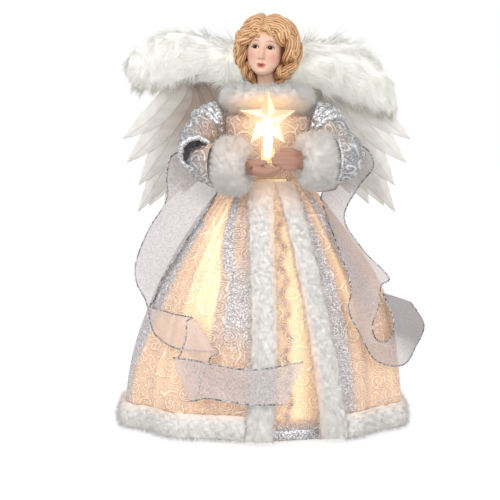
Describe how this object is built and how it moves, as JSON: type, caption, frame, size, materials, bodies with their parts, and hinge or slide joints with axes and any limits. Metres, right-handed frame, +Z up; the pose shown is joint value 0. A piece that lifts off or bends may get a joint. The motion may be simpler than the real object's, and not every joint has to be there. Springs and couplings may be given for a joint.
{
  "type": "angel tree topper",
  "caption": "Lit angel figure in an open brocade robe with plush edging, organza stole and feather wings, holding a star, on a hollow cone that slips over a tree's top shoot.",
  "frame": {"origin": "centre of the cone's mouth, on the plane that the cone stands on", "axes": "+Z up along the figure, the figure faces -Y, +X to the right of someone who looks at its face"},
  "size_m": [0.2938, 0.2405, 0.3882],
  "materials": {
    "cone_card": "matte",
    "torso_plastic": "matte",
    "painted_resin": "satin paint",
    "steel_wire": "drawn",
    "robe_brocade": "raised scrolls on satin",
    "silver_brocade": "silver thread",
    "silver_braid": "metallic braid",
    "white_plush": "long pile",
    "organza": "sheer with wired edges",
    "goose_feather": "feather",
    "down": "down",
    "clear_acrylic": "clear, lit from inside",
    "bulb_glass": "lit",
    "cable_pvc": "moulded"
  },
  "bodies": {
    "figure": {"tree_cone": "cone_card", "lead_grommet": "cable_pvc", "torso": "torso_plastic", "head": "painted_resin", "left_hand": "painted_resin", "right_hand": "painted_resin", "left_arm_wire": "steel_wire", "right_arm_wire": "steel_wire", "bodice": "silver_brocade", "left_sleeve": "silver_brocade", "right_sleeve": "silver_brocade", "left_cuff": "white_plush", "right_cuff": "white_plush", "collar": "white_plush", "underskirt": "robe_brocade", "underskirt_hem_trim": "silver_braid", "hem_hoop": "steel_wire", "robe": "robe_brocade", "robe_front_fur_left": "white_plush", "robe_front_fur_right": "white_plush", "robe_hem_fur": "white_plush", "stole": "organza", "star_bulb": "bulb_glass", "star_socket": "cable_pvc", "star_lead": "cable_pvc", "light_string": "cable_pvc", "skirt_bulb_1": "bulb_glass", "skirt_bulb_2": "bulb_glass", "skirt_bulb_3": "bulb_glass", "skirt_bulb_4": "bulb_glass", "skirt_bulb_5": "bulb_glass", "skirt_bulb_6": "bulb_glass", "skirt_bulb_7": "bulb_glass", "skirt_bulb_8": "bulb_glass", "skirt_bulb_9": "bulb_glass", "wing_bracket": "torso_plastic"},
    "left_wing": {"left_wing_wire": "steel_wire", "left_wing_card": "cone_card", "left_feather_1": "goose_feather", "left_feather_2": "goose_feather", "left_feather_3": "goose_feather", "left_feather_4": "goose_feather", "left_feather_5": "goose_feather", "left_feather_6": "goose_feather", "left_feather_7": "goose_feather", "left_down_front": "down", "left_down_back": "down"},
    "right_wing": {"right_wing_wire": "steel_wire", "right_wing_card": "cone_card", "right_feather_1": "goose_feather", "right_feather_2": "goose_feather", "right_feather_3": "goose_feather", "right_feather_4": "goose_feather", "right_feather_5": "goose_feather", "right_feather_6": "goose_feather", "right_feather_7": "goose_feather", "right_down_front": "down", "right_down_back": "down"},
    "star": {"star": "clear_acrylic"}
  },
  "joints": [
    {"name": "left_wing_fold", "type": "hinge", "parent": "figure", "child": "left_wing", "pos_m": [-0.018, 0.0347, 0.274], "axis": [0, 0, -1], "range_deg": [0, 60]},
    {"name": "right_wing_fold", "type": "hinge", "parent": "figure", "child": "right_wing", "pos_m": [0.018, 0.0347, 0.274], "axis": [0, 0, 1], "range_deg": [0, 60]},
    {"name": "star_lift", "type": "slide", "parent": "figure", "child": "star", "axis": [0, 0, 1], "range_m": [0, 0.03]}
  ]
}
